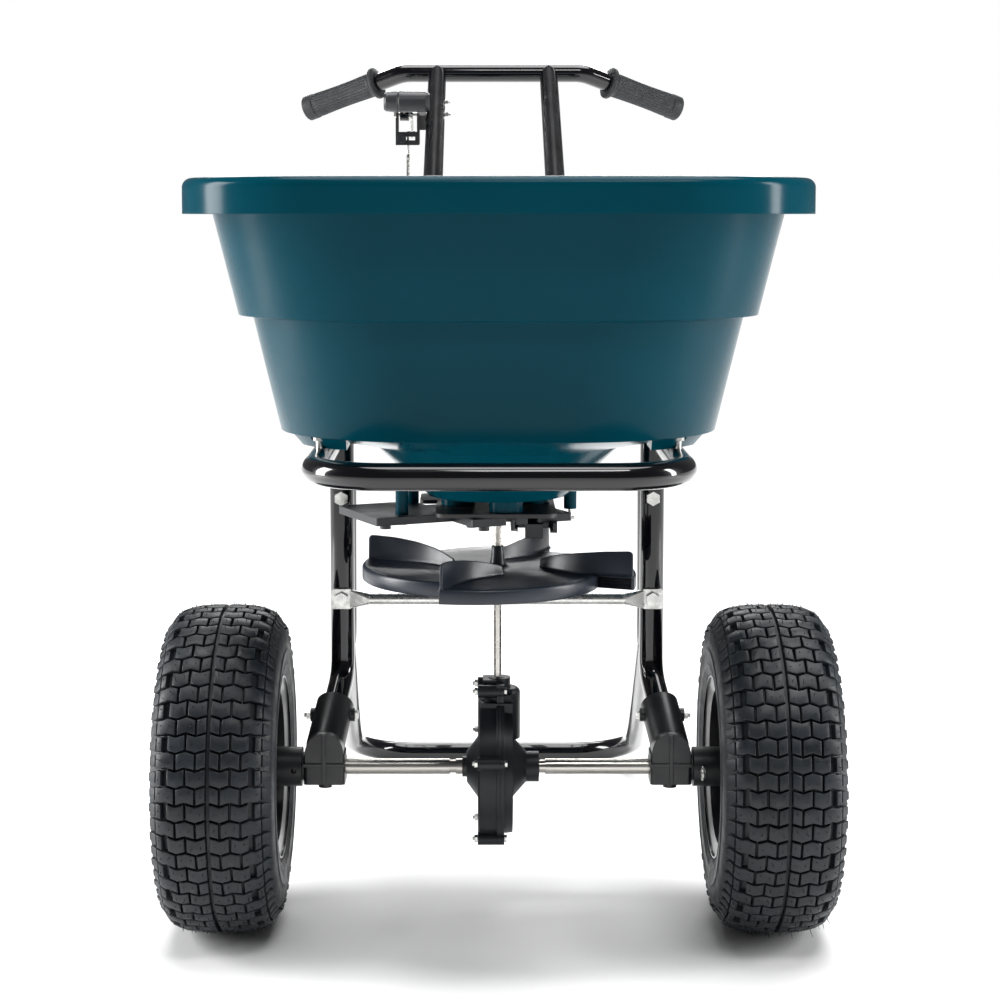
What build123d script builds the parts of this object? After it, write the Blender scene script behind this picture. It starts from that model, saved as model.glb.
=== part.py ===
"""Walk-behind rotary broadcast spreader, as an assembly of separate pieces.

Millimetres, +Z up, the front of the machine towards -Y and its right side towards +X.
The drawing is laid out about the axle: X = 0 is the middle plane and Y = 0 the axle.
export_all() then moves every piece along Y, so that the origin of the written files is
on the ground under the middle of the whole machine.
"""
from build123d import *
from math import cos, radians, sin, tan
import os

os.makedirs("parts", exist_ok=True)

# ---------------------------------------------------------------- driving dimensions
WHEEL_R = 165.0            # outer radius of the tyre, and so the height of the axle
TRACK_HALF = 276.0         # middle plane of each tyre
AXLE_R = 7.94
AXLE_HALF = 330.0
CAP_SEAT = (6.9, 10.0)     # radius and length of the seat for a push-on cap at the right end
RUN_CLEAR = 0.05           # radial running clearance of every bush

TUBE_R = 12.7              # every black frame tube
TUBE_WALL = 1.8

RAIL_Z = 492.0             # the tube loop that carries the hopper
RAIL_HALF_W = 171.0
RAIL_FRONT_Y = -238.0
RAIL_BACK_Y = 258.0
RAIL_BEND_R = 70.0

LEG_X = 163.0
LEG_Y = 87.0
LEG_KNEE_Z = 243.0
LEG_FOOT = (177.0, 0.0, 182.0)

STAND_X = 162.0
STAND_TOP_Z = 455.0
STAND_KNEE_Z = 285.0
STAND_FOOT_X = 186.0
STAND_FOOT_Y = 650.0
LEG_BOLT_Z = 431.0
BRACE_Z = 325.0

CROSSBAR_Y = 937.0
CROSSBAR_Z = 928.0
UPRIGHT_X = 79.5
UPRIGHT_SLOPE = 28.6       # degrees above the horizontal
UPRIGHT_FOOT_Y = 205.0
REAR_TUBE_Y = 237.5

HOPPER_TOP_Z = 761.0
HOPPER_SKIN = 3.6
HOPPER_CORNER_R = 150.0
BOWL_FLOOR_Z = 446.0

SHAFT_R = 3.97
PLATE_TOP_Z = 428.0
PLATE_THICK = 8.0
PLATE_TURN = 25.0          # degrees that the port plate is turned about the shaft
GATE_TRAVEL = 27.0
PORT_R = 13.0
PORTS = ((8.0, -34.0), (-40.0, 14.0), (36.0, 30.0))

GEAR_TEETH = 53
PINION_TEETH = 9
GEAR_X = -12.0             # the face of the gear disc that its teeth stand on

LEVER_PIVOT_Z = 864.0
CRANK_LENGTH = 27.0

BOTTOM = (Align.CENTER, Align.CENTER, Align.MIN)
shapes = {}


# ---------------------------------------------------------------- helpers
def rod(start, end, radius):
    """A round bar from start to end."""
    way = Vector(*end) - Vector(*start)
    return Plane(origin=start, z_dir=way).location * Cylinder(radius, way.length, align=BOTTOM)


def tube(start, end, radius, bore):
    """A straight tube, bored right through."""
    return rod(start, end, radius) - rod(start, end, bore)


def swept(points, bend, radius):
    """A round bar along a path with rounded corners, its seam off the drilled lines."""
    path = FilletPolyline(*points, radius=bend)
    section = Plane(origin=path @ 0, z_dir=path % 0) * (Rot(0, 0, 40) * Circle(radius))
    return sweep(section, path=path)


def bent_tube(points, bend):
    return swept(points, bend, TUBE_R) - swept(points, bend, TUBE_R - TUBE_WALL)


def block(low, high, edge=0.0):
    """A box between two corners, with its upright edges rounded by edge."""
    size = [b - a for a, b in zip(low, high)]
    middle = [(a + b) / 2 for a, b in zip(low, high)]
    body = Pos(*middle) * Box(*size)
    return fillet(body.edges().filter_by(Axis.Z), edge) if edge else body


def hexagon(across, height):
    return extrude(RegularPolygon(across / 2, 6, major_radius=False), height)


def spin_x(points, x=0.0, z=WHEEL_R):
    """Turn an outline of (x, radius) points about the line of the axle."""
    outline = make_face(Polyline(*[(px, 0, r) for px, r in points], close=True))
    return Pos(x, 0, z) * revolve(outline, Axis.X)


def mirrored_outline(half):
    return half + [(-x, r) for x, r in reversed(half)]


def spin_z(points):
    """Turn an outline of (radius, z) points about the vertical through the origin."""
    return revolve(make_face(Polyline(*[(r, 0, z) for r, z in points], close=True)), Axis.Z)


def fastener(start, way, grip, radius=3.0):
    """A hexagon bolt whose head rests on start, and its nut beyond the grip."""
    across = radius * 3.3
    nut_height = radius * 1.6
    place = Plane(origin=start, z_dir=way).location
    head = Pos(0, 0, -radius * 1.3) * hexagon(across, radius * 1.3)
    shank = Cylinder(radius, grip + nut_height + radius, align=BOTTOM)
    nut = Pos(0, 0, grip) * (hexagon(across, nut_height) - Cylinder(radius + 0.02, 99))
    return [place * (head + shank), place * nut]


def drilled(body, start, way, radius=3.0):
    """Drill a clearance hole right through along way."""
    place = Plane(origin=start, z_dir=way).location
    return body - place * Cylinder(radius + 0.15, 160)


def group(pieces):
    """One node made of separate solids."""
    solids = []
    for piece in pieces:
        solids.extend(piece.solids())
    return Compound(solids)


def turned_slot(x, y, low_z, high_z, half_w, half_l):
    """A slot-shaped cutter along Y, centred on x, y."""
    return Pos(x, y, low_z) * extrude(Rot(0, 0, 90) * SlotCenterToCenter(2 * half_l, 2 * half_w),
                                      high_z - low_z)


# ---------------------------------------------------------------- hopper
WALL_LEVELS = (            # z, half width, half depth of the outside of the hopper walls
    (516.0, 215.0, 175.0), (628.0, 240.5, 188.0),
    (630.0, 253.5, 198.0), (759.5, 284.5, 209.2),
)
RIM_HALF_W = 302.5
RIM_HALF_D = 232.0
RIM_BOTTOM_Z = 727.0


def rounded_section(z, half_w, half_d, corner=HOPPER_CORNER_R):
    return Pos(0, 0, z) * RectangleRounded(2 * half_w, 2 * half_d, corner)


def walls(inset):
    """The solid inside the hopper walls, drawn in by inset."""
    body = None
    for (z0, w0, d0), (z1, w1, d1) in zip(WALL_LEVELS, WALL_LEVELS[1:]):
        low = rounded_section(z0, w0 - inset, d0 - inset, HOPPER_CORNER_R - inset)
        high = rounded_section(z1, w1 - inset, d1 - inset, HOPPER_CORNER_R - inset)
        step = loft([low, high])
        body = step if body is None else body + step
    return body


def bowl(inset):
    """The solid inside the funnel floor and the bowl under the walls."""
    z, half_w, half_d = WALL_LEVELS[0]
    mouth_r = 124.0
    edge = rounded_section(z, half_w - inset, half_d - inset, HOPPER_CORNER_R - inset)
    mouth = rounded_section(498.0, mouth_r - inset, mouth_r - inset, mouth_r - inset - 0.5)
    funnel = loft([mouth, edge])
    height = 498.0 - BOWL_FLOOR_Z - inset
    pot = Pos(0, 0, BOWL_FLOOR_Z + inset) * Cone(70.0 - inset, mouth_r - inset, height, align=BOTTOM)
    return funnel + pot


def make_hopper():
    skin = HOPPER_SKIN
    body = walls(0) + bowl(0)
    lip = extrude(rounded_section(RIM_BOTTOM_Z, RIM_HALF_W, RIM_HALF_D), HOPPER_TOP_Z - RIM_BOTTOM_Z)
    lip = fillet(lip.edges().group_by(Axis.Z)[-1], 9.0)
    under = extrude(rounded_section(RIM_BOTTOM_Z, RIM_HALF_W - skin, RIM_HALF_D - skin,
                                    HOPPER_CORNER_R - skin), HOPPER_TOP_Z - RIM_BOTTOM_Z - skin)
    body = body + (lip - under)
    taper = loft([rounded_section(LUG_FOOT_Z, 203.0, 163.0, 140.0), rounded_section(LUG_TOP_Z, 213.5, 173.5)])
    for x in (-HOPPER_LUG[0], HOPPER_LUG[0]):
        for y in (-HOPPER_LUG[1], HOPPER_LUG[1]):
            corner = block((min(x * 0.84, x * 1.3), min(y * 0.72, y * 1.6), LUG_FOOT_Z),
                           (max(x * 0.84, x * 1.3), max(y * 0.72, y * 1.6), LUG_TOP_Z))
            body = body + (corner & taper)
    top_z, top_w, top_d = WALL_LEVELS[-1]
    mouth = extrude(rounded_section(top_z, top_w - skin, top_d - skin, HOPPER_CORNER_R - skin), 20)
    body = body - (walls(skin) + bowl(skin) + mouth)
    for x, y in PORTS:
        spout = Cylinder(PORT_R + 4, BOWL_FLOOR_Z - GATE_TOP + 0.6, align=BOTTOM)
        body = body + Pos(x, y, GATE_TOP + 0.4) * spout
    body = body + spin_z([(0, GATE_TOP + 0.4), (9, GATE_TOP + 0.4), (9, 458), (0, 458)])
    for x, y in PLATE_BOSSES:
        body = body + rod((x, y, PLATE_TOP_Z), (x, y, boss_top(x, y)), 6.5)
        body = body - rod((x, y, PLATE_TOP_Z - 1), (x, y, PLATE_TOP_Z + 18), 2.15)
    for x, y in PORTS:
        body = body - rod((x, y, 420), (x, y, 452), PORT_R)
    body = body - rod((0, 0, 420), (0, 0, 470), SHAFT_R + 1.0)
    for x in (-HOPPER_LUG[0], HOPPER_LUG[0]):
        for y in (-HOPPER_LUG[1], HOPPER_LUG[1]):
            body = drilled(body, (x, y, 515), (0, 0, 1))
            body = body - rod((x, y, 512), (x, y, 560), 8.5)
    return body


HOPPER_LUG = (171.0, 118.0)
LUG_FOOT_Z = RAIL_Z + TUBE_R + 0.05
LUG_TOP_Z = 518.0
GATE_BOTTOM = PLATE_TOP_Z + 0.4
GATE_TOP = GATE_BOTTOM + 4.0
PLATE_BOSSES = ((-96.0, -21.0), (-88.0, 62.0), (74.0, 20.0))


def boss_top(x, y):
    """Height of the inside of the bowl wall above a boss."""
    reach = (x * x + y * y) ** 0.5
    rise = (reach - 70.0) / (124.0 - 70.0) * (498.0 - BOWL_FLOOR_Z)
    return BOWL_FLOOR_Z + max(rise, 0.0) + 2.5


# ---------------------------------------------------------------- frame tubes
def rail_points():
    return [(-RAIL_HALF_W, RAIL_BACK_Y, RAIL_Z), (-RAIL_HALF_W, RAIL_FRONT_Y, RAIL_Z),
            (RAIL_HALF_W, RAIL_FRONT_Y, RAIL_Z), (RAIL_HALF_W, RAIL_BACK_Y, RAIL_Z)]


def make_rail():
    rail = bent_tube(rail_points(), RAIL_BEND_R)
    for x in (-RAIL_HALF_W, RAIL_HALF_W):
        rail = drilled(rail, (x, REAR_TUBE_Y, RAIL_Z), (0, 0, 1), 3.5)
        for y in (-HOPPER_LUG[1], HOPPER_LUG[1]):
            rail = drilled(rail, (x, y, RAIL_Z), (0, 0, 1))
    return rail


def make_rear_tube():
    z = RAIL_Z + 2 * TUBE_R + 0.05
    body = tube((-190, REAR_TUBE_Y, z), (190, REAR_TUBE_Y, z), TUBE_R, TUBE_R - TUBE_WALL)
    for x in (-RAIL_HALF_W, RAIL_HALF_W):
        body = drilled(body, (x, REAR_TUBE_Y, z), (0, 0, 1), 3.5)
    for x in (-UPRIGHT_X, UPRIGHT_X):
        body = drilled(body, (x, REAR_TUBE_Y, z), upright_normal(), 3.5)
    return body


def upright_way():
    return (0, cos(radians(UPRIGHT_SLOPE)), sin(radians(UPRIGHT_SLOPE)))


def upright_normal():
    return (0, -sin(radians(UPRIGHT_SLOPE)), cos(radians(UPRIGHT_SLOPE)))


def upright_z(y):
    """Height of an upright's middle line at y."""
    return CROSSBAR_Z - (CROSSBAR_Y - y) * tan(radians(UPRIGHT_SLOPE))


def lever_pivot_y():
    return CROSSBAR_Y - (CROSSBAR_Z - LEVER_PIVOT_Z) / tan(radians(UPRIGHT_SLOPE))


def make_upright(x):
    start = (x, UPRIGHT_FOOT_Y, upright_z(UPRIGHT_FOOT_Y))
    end = (x, CROSSBAR_Y, CROSSBAR_Z)
    body = tube(start, end, TUBE_R, TUBE_R - TUBE_WALL)
    body = body - rod((x - 40, CROSSBAR_Y, CROSSBAR_Z), (x + 40, CROSSBAR_Y, CROSSBAR_Z), TUBE_R + 0.02)
    body = drilled(body, (x, REAR_TUBE_Y, RAIL_Z + 2 * TUBE_R), upright_normal(), 3.5)
    if x < 0:
        body = drilled(body, (x, lever_pivot_y(), LEVER_PIVOT_Z), (1, 0, 0))
        y = lever_pivot_y() - BRACKET_SCREW_BACK
        body = drilled(body, (x, y, upright_z(y)), (1, 0, 0), 2.5)
    return body


BRACKET_SCREW_BACK = -34.0


BAR_KNEE = Vector(-128.0, CROSSBAR_Y, CROSSBAR_Z)
GRIP_WAY = Vector(-102.0, 45.0, -34.0).normalized()
GRIP_START = BAR_KNEE + GRIP_WAY * 42.7
GRIP_LENGTH = 121.0


def make_handlebar():
    side = GRIP_START + GRIP_WAY * (GRIP_LENGTH - 6.0)
    left = [tuple(side), tuple(BAR_KNEE)]
    right = [(-x, y, z) for x, y, z in reversed(left)]
    return bent_tube(left + right, 45.0)


def make_leg():
    foot = Vector(*LEG_FOOT)
    knee = Vector(LEG_X, LEG_Y, LEG_KNEE_Z)
    start = foot + (knee - foot).normalized() * LEG_SOCKET[0]
    leg = bent_tube([tuple(start), tuple(knee), (LEG_X, LEG_Y, RAIL_Z)], 34.0)
    leg = leg - rod((RAIL_HALF_W, 0, RAIL_Z), (RAIL_HALF_W, 200, RAIL_Z), TUBE_R + 0.02)
    leg = leg - block((LEG_X - 30, LEG_Y - 30, RAIL_Z - 3), (LEG_X + 30, LEG_Y + 30, RAIL_Z + 30))
    for z in (LEG_BOLT_Z, BRACE_Z):
        leg = drilled(leg, (LEG_X, LEG_Y, z), (0, 1, 0), 4.0)
    return drilled(leg, tuple(foot + (knee - foot).normalized() * SOCKET_SCREW), (1, 0, 0), 2.5)


LEG_SOCKET = (22.0, 62.0)      # where the tube starts in its socket, and where the socket ends
SOCKET_SCREW = 48.0            # place of the clamp screw along the socket


def make_stand():
    y = LEG_Y + 2 * TUBE_R + 0.3
    half = [(STAND_X, y, STAND_TOP_Z), (STAND_X, y, STAND_KNEE_Z),
            (STAND_FOOT_X, STAND_FOOT_Y, TUBE_R)]
    other = [(-px, py, pz) for px, py, pz in reversed(half)]
    stand = bent_tube(half + other, [48.0, 80.0, 80.0, 48.0])
    for x in (-LEG_X, LEG_X):
        for z in (LEG_BOLT_Z, BRACE_Z):
            stand = drilled(stand, (x, y, z), (0, 1, 0), 4.0)
    return stand


def make_brace():
    """Round bar with flattened ends that tie the two legs."""
    y = LEG_Y - TUBE_R - 2.4
    reach = LEG_X - 30
    body = rod((-reach - 1, y, BRACE_Z), (reach + 1, y, BRACE_Z), 6.35)
    for side in (-1, 1):
        ear = block((-11, -2, -10.5), (11, 2, 10.5))
        ear = chamfer(ear.edges().filter_by(Axis.Y), 2.0)
        plate = Pos(side * LEG_X, y, BRACE_Z) * ear
        big = Plane(origin=(side * (LEG_X - 8), y, BRACE_Z), z_dir=(side, 0, 0),
                    x_dir=(0, 1, 0)) * RectangleRounded(3.8, 20.6, 1.6)
        small = Plane(origin=(side * reach, y, BRACE_Z), z_dir=(side, 0, 0),
                      x_dir=(0, 1, 0)) * RectangleRounded(12.4, 12.4, 6.1)
        body = body + plate + loft([small, big])
    for x in (-LEG_X, LEG_X):
        body = drilled(body, (x, y, BRACE_Z), (0, 1, 0), 4.0)
    return body


# ---------------------------------------------------------------- axle brackets and bushes
def make_axle_bracket():
    foot = Vector(*LEG_FOOT)
    knee = Vector(LEG_X, LEG_Y, LEG_KNEE_Z)
    way = (knee - foot).normalized()
    base = block((155, -17, 150), (197, 17, 181), 4)
    arch = rod((176, -17, 183), (176, 14, 183), 19.5) + block((156.5, -17, 170), (195.5, 14, 184))
    collar = rod(tuple(foot + way * 4), tuple(foot + way * LEG_SOCKET[1]), 19.5)
    rib = block((174, -19.5, 152), (178, -10, 202))
    nub = rod((176, 0, 144), (176, 0, 152), 7)
    strap = block((155, -19, 168.5), (197, 19, 172))
    body = base + arch + collar + rib + nub + strap
    seat = foot + way * (LEG_SOCKET[0] - 0.2)
    body = body - rod(tuple(seat), tuple(foot + way * 90), TUBE_R + 0.05)
    body = body - rod((150, 0, WHEEL_R), (200, 0, WHEEL_R), BUSH_R + 0.02)
    screw = foot + way * SOCKET_SCREW
    for side in (-1, 1):
        ear = Plane(origin=tuple(screw), z_dir=(side, 0, 0)).location * Cylinder(7, 23, align=BOTTOM)
        body = body + (ear - rod(tuple(seat), tuple(foot + way * 90), TUBE_R + 0.05))
    return drilled(body, tuple(screw), (1, 0, 0), 2.5)


BUSH_R = 11.0


def make_axle_bush():
    body = tube((155, 0, WHEEL_R), (197, 0, WHEEL_R), BUSH_R, AXLE_R + RUN_CLEAR)
    flange = tube((197.1, 0, WHEEL_R), (198.6, 0, WHEEL_R), 14.0, AXLE_R + RUN_CLEAR)
    return body + flange + tube((196.9, 0, WHEEL_R), (197.2, 0, WHEEL_R), BUSH_R, AXLE_R + RUN_CLEAR)


def socket_screws():
    foot = Vector(*LEG_FOOT)
    way = (Vector(LEG_X, LEG_Y, LEG_KNEE_Z) - foot).normalized()
    middle = foot + way * SOCKET_SCREW
    start = (middle.X - 23.2, middle.Y, middle.Z)
    return fastener(start, (1, 0, 0), 46.4, 2.5)


# ---------------------------------------------------------------- wheels
RIM_OUTLINE = [(57.0, 0), (57.0, 92.0), (53.0, 93.0), (49.5, 80.0), (24.0, 79.2), (18.0, 66.0)]


def tyre_outline(inset):
    """Half section of the tyre as (x, radius) points about its middle plane."""
    edge = [(47.0, 78.0), (56.5, 92.0), (60.0, 112.0), (58.5, 132.0), (54.0, 148.0),
            (47.0, 157.5), (34.0, 162.5), (17.0, 164.6), (0.0, 165.0)]
    if inset:
        edge = [(x * 0.86, r - inset * (0.1 + 0.9 * (r - 78.0) / 87.0)) for x, r in edge]
        edge[0] = (edge[0][0], 70.0)
    return edge


def make_tyre():
    shell = None
    for inset in (0, 9.0):
        half = tyre_outline(inset)
        other = [(-px, r) for px, r in reversed(half[:-1])]
        points = half + other
        path = Spline(*[(px, 0, r) for px, r in points])
        closing = Line((points[-1][0], 0, points[-1][1]), (points[0][0], 0, points[0][1]))
        body = revolve(make_face([path, closing]), Axis.X)
        shell = body if shell is None else shell - body
    seat = [(x - (0.1 if x < 55 else -0.1), r + 0.1) for x, r in RIM_OUTLINE[1:]]
    seat = [(65.0, 0), (65.0, 84.0), (57.1, 84.0)] + seat
    return Pos(TRACK_HALF, 0, 0) * (Pos(0, 0, WHEEL_R) * shell - spin_x(mirrored_outline(seat)))


def make_rim():
    """Pressed steel rim: two flanges, a well and the disc, in one skin."""
    inner = [(58.0, 0), (58.0, 90.0), (55.2, 90.6), (51.4, 77.8), (25.6, 77.0), (19.6, 63.8)]
    barrel = spin_x(mirrored_outline(RIM_OUTLINE)) - spin_x(mirrored_outline(inner))
    disc = spin_x([(8, HUB_R), (12, HUB_R), (16, 44), (12, 64.9), (8, 64.9), (11.4, 44)])
    rim = barrel + disc
    for step in range(4):
        turn = radians(45 + 90 * step)
        rim = rim - rod((0, 45 * cos(turn), WHEEL_R + 45 * sin(turn)),
                        (30, 45 * cos(turn), WHEEL_R + 45 * sin(turn)), 9)
    return Pos(TRACK_HALF, 0, 0) * rim - rod(valve_point(74.0), valve_point(34.0), 4.2)


HUB_R = 20.0
HUB_INNER_X = 199.0
HUB_OUTER_X = 318.0
PIN_X = 207.0


def make_hub():
    hub = tube((HUB_INNER_X, 0, WHEEL_R), (HUB_OUTER_X, 0, WHEEL_R), HUB_R, AXLE_R + RUN_CLEAR)
    return hub - rod((PIN_X, -40, WHEEL_R), (PIN_X, 40, WHEEL_R), 2.6)


def valve_point(radius):
    """A point on the line of the valve stem, at radius from the axle."""
    turn = radians(62)
    return (TRACK_HALF - 12, radius * cos(turn), WHEEL_R + radius * sin(turn))


def make_valve():
    base, neck, tip, end = [valve_point(radius) for radius in (71.0, 63.6, 45.0, 37.0)]
    return rod(base, neck, 4.0) + rod(neck, tip, 3.4) + rod(tip, end, 4.6)


def make_axle():
    axle = rod((-AXLE_HALF, 0, WHEEL_R), (AXLE_HALF, 0, WHEEL_R), AXLE_R)
    axle = chamfer(axle.edges(), 1.0)
    for x in (-45.5, 45.5):
        ring = tube((x - 3, 0, WHEEL_R), (x + 3, 0, WHEEL_R), AXLE_R + 1, AXLE_R - 1.3)
        axle = axle - ring
    for x in (-PIN_X, PIN_X):
        axle = axle - rod((x, -20, WHEEL_R), (x, 20, WHEEL_R), 2.6)
    axle = axle - rod((-323, -20, WHEEL_R), (-323, 20, WHEEL_R), 1.7)
    seat_r, seat_length = CAP_SEAT
    seat_x = AXLE_HALF - seat_length
    axle = axle - tube((seat_x, 0, WHEEL_R), (AXLE_HALF + 1, 0, WHEEL_R), AXLE_R + 1, seat_r)
    return axle - rod((GEAR_HUB_PIN_X, -20, WHEEL_R), (GEAR_HUB_PIN_X, 20, WHEEL_R), 2.02)


GEAR_HUB_PIN_X = -21.5


def cotter(x, reach, radius, loop_r):
    """Split pin through the axle along Y, with its loop at the front and its legs bent."""
    legs = rod((x, -reach - radius, WHEEL_R), (x, reach + 4, WHEEL_R), radius)
    loop = Pos(x, -reach - loop_r - radius, WHEEL_R) * Rot(0, 90, 0) * Torus(loop_r, radius)
    bent = rod((x, reach + 4 - radius, WHEEL_R), (x, reach + 4, WHEEL_R - 8), radius * 0.6)
    return legs + loop + bent


# ---------------------------------------------------------------- gears and gearbox
def make_gear():
    """Face gear: a disc whose teeth stand on its right face, with a hub on its left."""
    disc = spin_x([(GEAR_X - 5, 12), (GEAR_X - 5, 60), (GEAR_X, 60), (GEAR_X, 12)])
    hub = spin_x([(-27, 7), (-27, 13), (-9.2, 13), (-9.2, 7)])
    gear = disc + hub
    for k in range(GEAR_TEETH):
        turn = (k + 0.5) * 360.0 / GEAR_TEETH
        tooth = block((GEAR_X - 1, -1.0, 46.5), (GEAR_X + 3.2, 1.0, 59.5))
        gear = gear + Pos(0, 0, WHEEL_R) * Rot(turn, 0, 0) * tooth
    gear = gear - rod((-40, 0, WHEEL_R), (10, 0, WHEEL_R), AXLE_R + 0.02)
    for k in range(6):
        turn = radians(60 * k)
        place = (0, 30 * cos(turn), WHEEL_R + 30 * sin(turn))
        gear = gear - rod((-30, place[1], place[2]), (0, place[1], place[2]), 7)
    pin = rod((GEAR_HUB_PIN_X, -20, WHEEL_R), (GEAR_HUB_PIN_X, 20, WHEEL_R), 2.02)
    return gear - pin


def make_pinion():
    low, high = WHEEL_R + 45.5, WHEEL_R + 61.0
    pinion = Pos(0, 0, low) * Cylinder(7.0, high - low, align=BOTTOM)
    for k in range(PINION_TEETH):
        tooth = make_face(Polyline((-10.4, -0.8, low), (-10.4, 0.8, low), (-6.0, 1.5, low),
                                   (-6.0, -1.5, low), close=True))
        pinion = pinion + Rot(0, 0, k * 360.0 / PINION_TEETH) * extrude(tooth, high - low, (0, 0, 1))
    pinion = pinion + Pos(0, 0, high) * Cylinder(8.0, 5, align=BOTTOM)
    pinion = pinion - rod((0, 0, low - 5), (0, 0, high + 9), SHAFT_R + 0.02)
    pin_z = high + 2.5
    return pinion - rod((-12, 0, pin_z), (12, 0, pin_z), 1.2)


SEAM_X = 2.0
CASE_R = 71.0


def gearbox_outside():
    case = spin_x([(-31.5, 0), (-31.5, 15.5), (-20, 31), (-20, 69), (-18, CASE_R), (-1, CASE_R),
                   (-1, 73.5), (6.5, 73.5), (6.5, 67), (15, 66), (15, 31), (29, 15.5),
                   (42, 15.5), (42, 0)])
    neck = Pos(3, 0, 196) * Cylinder(20, 52, align=BOTTOM)
    neck = fillet(neck.edges().group_by(Axis.Z)[-1], 6)
    waist = block((-17, -26, 190), (15, 26, 236))
    fin = block((-1, -24, 200), (6.5, 24, 254), 0)
    cap = block((-15, -13, 240), (0, 13, 257)) + Pos(2, 0, 240) * Cylinder(11, 18, align=BOTTOM)
    lugs = []
    for y, z in GEARBOX_SCREWS:
        lugs.append(rod((-20.2, y, z), (6.5, y, z), 6.5))
    for lug in lugs:
        case = case + lug
    return case + neck + waist + fin + cap


GEARBOX_SCREWS = ((19.0, 247.0), (-19.0, 247.0), (71.0, 186.0), (-71.0, 186.0),
                  (38.0, 101.0), (-38.0, 101.0))


def gearbox_inside():
    room = spin_x([(-28, 0), (-28, 14.5), (-18.5, 30), (-18.5, 63), (3, 63), (12, 60), (12, 0)])
    well = Pos(0, 0, 196) * Cylinder(12.4, 38.5, align=BOTTOM)
    return room + well


def make_gearbox_half(side):
    shell = gearbox_outside() - gearbox_inside()
    if side > 0:
        shell = shell + foot_bearing_block()
    shell = shell - rod((-50, 0, WHEEL_R), (60, 0, WHEEL_R), CASE_BUSH_R + 0.02)
    shell = shell - rod((0, 0, 230), (0, 0, 270), SHAFT_BUSH_R + 0.02)
    shell = shell - rod((0, 0, 181), (0, 0, 198), SHAFT_BUSH_R + 0.02)
    for y, z in GEARBOX_SCREWS:
        shell = drilled(shell, (0, y, z), (1, 0, 0), 2.0) - rod((6.55, y, z), (40, y, z), 4.4)
    if side < 0:
        keep = block((-60, -90, 60), (SEAM_X - 0.02, 90, 290))
    else:
        keep = block((SEAM_X + 0.02, -90, 60), (60, 90, 290))
    if side > 0:
        return (shell & keep) + (foot_bearing_block() - rod((0, 0, 181), (0, 0, 198), SHAFT_BUSH_R + 0.02))
    return (shell & keep) - foot_bearing_block(0.2)


def foot_bearing_block(grow=0.0):
    """Block on the right half that holds the bush under the pinion."""
    return block((-8.6 - grow, -9 - grow, 179 - grow), (12.5, 9 + grow, 197.5 + grow))


CASE_BUSH_R = 10.5
SHAFT_BUSH_R = 6.5


def make_case_bushes():
    left = tube((-36, 0, WHEEL_R), (-28.5, 0, WHEEL_R), CASE_BUSH_R, AXLE_R + RUN_CLEAR)
    right = tube((13, 0, WHEEL_R), (42.5, 0, WHEEL_R), CASE_BUSH_R, AXLE_R + RUN_CLEAR)
    return [left, right]


def gearbox_screw_set():
    screws = []
    for y, z in GEARBOX_SCREWS:
        screws.extend(fastener((6.6, y, z), (-1, 0, 0), 26.9, 2.0))
    return screws


# ---------------------------------------------------------------- shaft, impeller and agitator
IMPELLER_R = 146.0
IMPELLER_DROP = 38.0
IMPELLER_VANE_TURN = 67.0
IMPELLER_TOP_Z = 371.5
IMPELLER_SKIRT_Z = 357.0


def polar(radius, degrees, z=0.0):
    return (radius * cos(radians(degrees)), radius * sin(radians(degrees)), z)


def impeller_face(inset):
    """Saw-blade outline: each lobe falls from its full radius to the next vane."""
    edges = []
    for k in range(4):
        start = IMPELLER_VANE_TURN + 90 * k
        radii = [IMPELLER_R - inset - IMPELLER_DROP * part for part in (0, 0.5, 1)]
        arc = [polar(r, start + 90 * part) for r, part in zip(radii, (0, 0.5, 1))]
        edges.append(ThreePointArc(*arc))
        edges.append(Line(arc[2], polar(IMPELLER_R - inset, start + 90)))
    return make_face(edges)


def make_impeller():
    disc = Pos(0, 0, IMPELLER_SKIRT_Z) * extrude(impeller_face(0), IMPELLER_TOP_Z - IMPELLER_SKIRT_Z)
    hollow = extrude(impeller_face(3.2), IMPELLER_TOP_Z - 3.0 - IMPELLER_SKIRT_Z)
    body = disc - Pos(0, 0, IMPELLER_SKIRT_Z) * hollow
    for k in range(4):
        turn = IMPELLER_VANE_TURN + 90 * k
        outer = Vector(*polar(IMPELLER_R - 1.8, turn + 0.6))
        inner = Vector(*polar(47.0, turn + 29))
        way = (inner - outer).normalized()
        length = (inner - outer).length
        face = Plane(origin=tuple(outer), x_dir=tuple(way), z_dir=(way.Y, -way.X, 0))
        rise = Polyline((0, IMPELLER_SKIRT_Z), (0, 395.5), (length * 0.55, 389.0), (length, 384.0),
                        (length, IMPELLER_TOP_Z - 1), (10, IMPELLER_TOP_Z - 1),
                        (10, IMPELLER_SKIRT_Z), close=True)
        upright = face * make_face(rise)
        body = body + extrude(upright, 1.5, both=True)
    hub = spin_z([(0, 352), (11, 352), (11, 372), (7.5, 376), (5.8, 393), (0, 393)])
    body = body + hub
    body = body - rod((0, 0, 340), (0, 0, 400), SHAFT_R + 0.02)
    return body - rod((-14, 0, 362), (14, 0, 362), 1.6)


def make_shaft():
    shaft = rod((0, 0, 182), (0, 0, 482), SHAFT_R)
    shaft = shaft - rod((-12, 0, 362), (12, 0, 362), 1.6)
    shaft = shaft - rod((0, -12, 468), (0, 12, 468), 2.02)
    return shaft - rod((-12, 0, WHEEL_R + 63.5), (12, 0, WHEEL_R + 63.5), 1.2)


def make_agitator():
    """Bent wire that stirs the grain over the ports."""
    points = [(0, -38, 480), (0, -26, 468), (0, 26, 468), (0, 38, 480)]
    return swept(points, 5.0, 2.0)


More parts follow.
